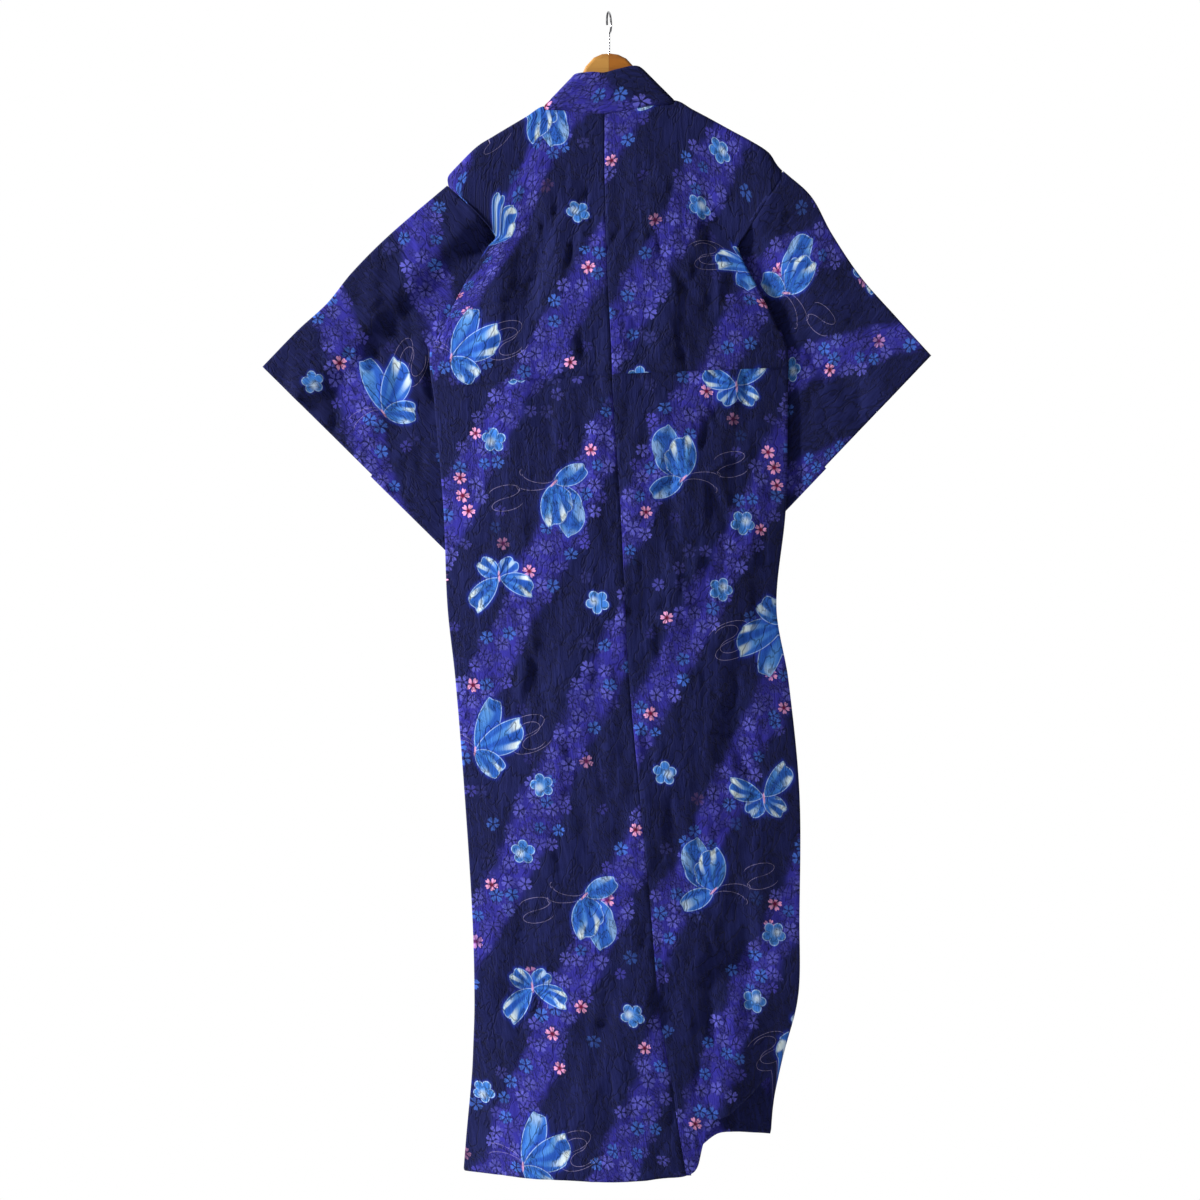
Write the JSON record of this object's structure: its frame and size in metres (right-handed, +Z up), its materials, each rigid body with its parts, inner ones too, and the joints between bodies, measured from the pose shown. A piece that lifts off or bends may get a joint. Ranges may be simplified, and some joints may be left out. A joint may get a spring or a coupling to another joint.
{
  "type": "kimono robe on a hanger",
  "caption": "Unlined cotton summer kimono with square sleeves, band collar and overlap panels, hanging flat on a wooden hanger with a wire hook.",
  "frame": {"origin": "inner top of the hanger's hook, where it rests on a rail", "axes": "+Z up along the robe, +Y out of the robe's front, +X towards the wearer's right, -Y out of its back"},
  "size_m": [1.016, 0.1182, 1.7654],
  "materials": {
    "printed_cotton": "matt crepe cotton, navy with violet bands, small blossoms and blue butterflies",
    "collar_cotton": "the same printed cotton, folded into a firm band",
    "hanger_wood": "clear varnish",
    "hook_steel": "bright plated wire"
  },
  "bodies": {
    "root": {"body_left_back": "printed_cotton", "body_left_front": "printed_cotton", "body_right_back": "printed_cotton", "body_right_front": "printed_cotton", "sleeve_left_back": "printed_cotton", "sleeve_left_front": "printed_cotton", "sleeve_right_back": "printed_cotton", "sleeve_right_front": "printed_cotton", "okumi_left": "printed_cotton", "okumi_right": "printed_cotton", "collar": "collar_cotton", "hanger": "hanger_wood", "hanger_hook": "hook_steel"}
  },
  "joints": []
}
